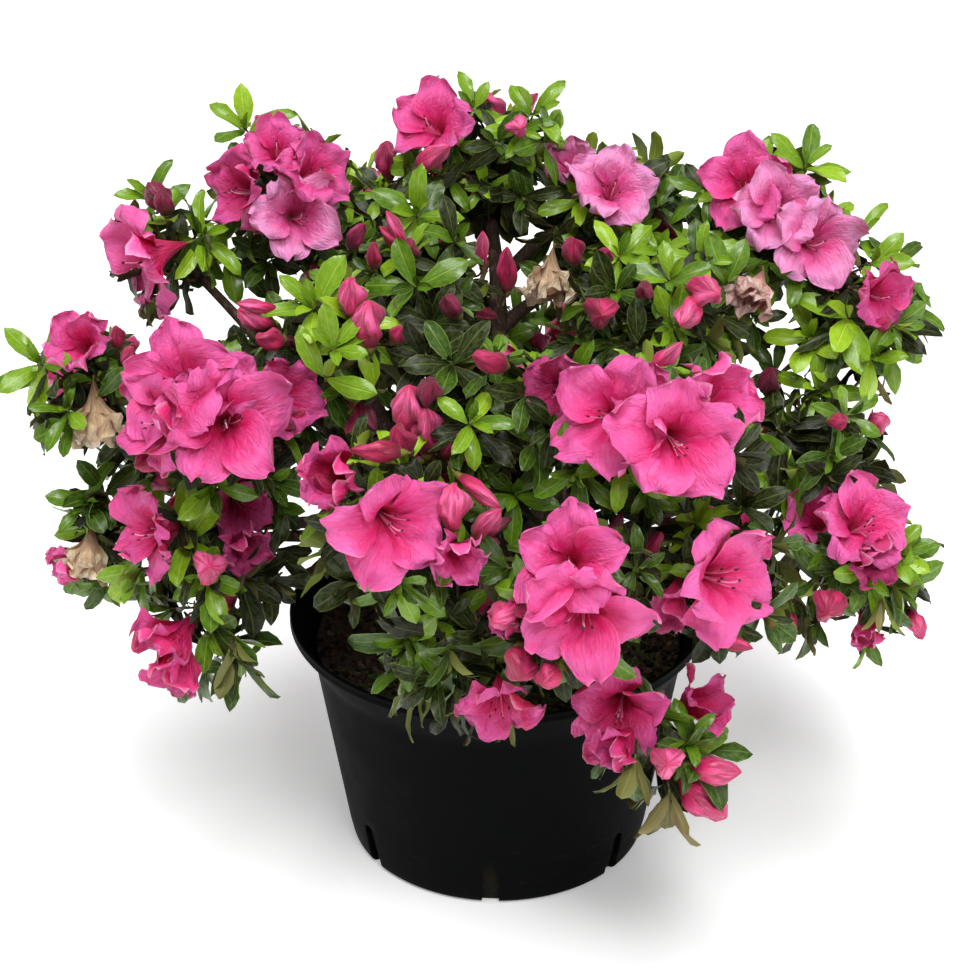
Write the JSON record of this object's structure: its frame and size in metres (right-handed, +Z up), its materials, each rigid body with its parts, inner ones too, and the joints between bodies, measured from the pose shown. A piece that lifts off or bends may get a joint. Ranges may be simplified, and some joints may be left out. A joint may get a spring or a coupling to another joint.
{
  "type": "potted azalea shrub",
  "caption": "Low, spreading azalea bush in flower, with a short stem, forked boughs and a domed head of foliage masses, in a tapered round plastic nursery pot with drainage slots.",
  "frame": {"origin": "middle of the flat underside of the pot, on the pot's axis", "axes": "+Z up along the pot's axis; -Y is the side with the large blooms that the bush is looked at from, and +X is to that viewer's right"},
  "size_m": [0.476, 0.3899, 0.3905],
  "materials": {
    "pot": "satin, near-black, lightly scuffed",
    "soil": "dark crumbly peat with a little moss",
    "bark": "rough brown bark",
    "foliage": "leathery, half-glossy leaves",
    "blossom": "thin, softly shining rose-pink petals"
  },
  "bodies": {
    "root": {"pot": "pot", "soil": "soil", "stem": "bark", "foliage_top": "foliage", "foliage_top_right": "foliage", "foliage_middle_top": "foliage", "foliage_right_top": "foliage", "foliage_upper_right": "foliage", "foliage_upper_left": "foliage", "foliage_left_tip": "foliage", "foliage_left_top": "foliage", "foliage_left": "foliage", "foliage_far_left": "foliage", "foliage_lower_left": "foliage", "foliage_far_lower_left": "foliage", "foliage_left_low_tip": "foliage", "foliage_centre": "foliage", "foliage_centre_left": "foliage", "foliage_middle_right": "foliage", "foliage_front": "foliage", "foliage_front_right": "foliage", "foliage_front_low": "foliage", "foliage_front_right_low": "foliage", "foliage_far_right": "foliage", "foliage_right": "foliage", "foliage_lower_right": "foliage", "foliage_back_left": "foliage", "foliage_back_upper_left": "foliage", "foliage_back_upper_right": "foliage", "foliage_back_right": "foliage", "foliage_back_low_left": "foliage", "foliage_back": "foliage", "foliage_back_low_right": "foliage", "foliage_right_back": "foliage", "foliage_left_back": "foliage", "bough_left": "bark", "bough_upper_left": "bark", "bough_back": "bark", "bough_upper_right": "bark", "bough_right": "bark", "bough_front": "bark", "bough_front_left": "bark", "bough_lower_left": "bark", "bough_back_low": "bark", "branch_left_tip": "bark", "branch_far_left": "bark", "branch_left_top": "bark", "branch_middle_top": "bark", "branch_right_top": "bark", "branch_far_right": "bark", "branch_middle_right": "bark", "branch_front": "bark", "branch_centre": "bark", "branch_front_low": "bark", "branch_far_lower_left": "bark", "branch_left_low_tip": "bark", "branch_front_right_low": "bark", "branch_right_back": "bark", "branch_back_left": "bark", "branch_back_right": "bark"}
  },
  "joints": []
}
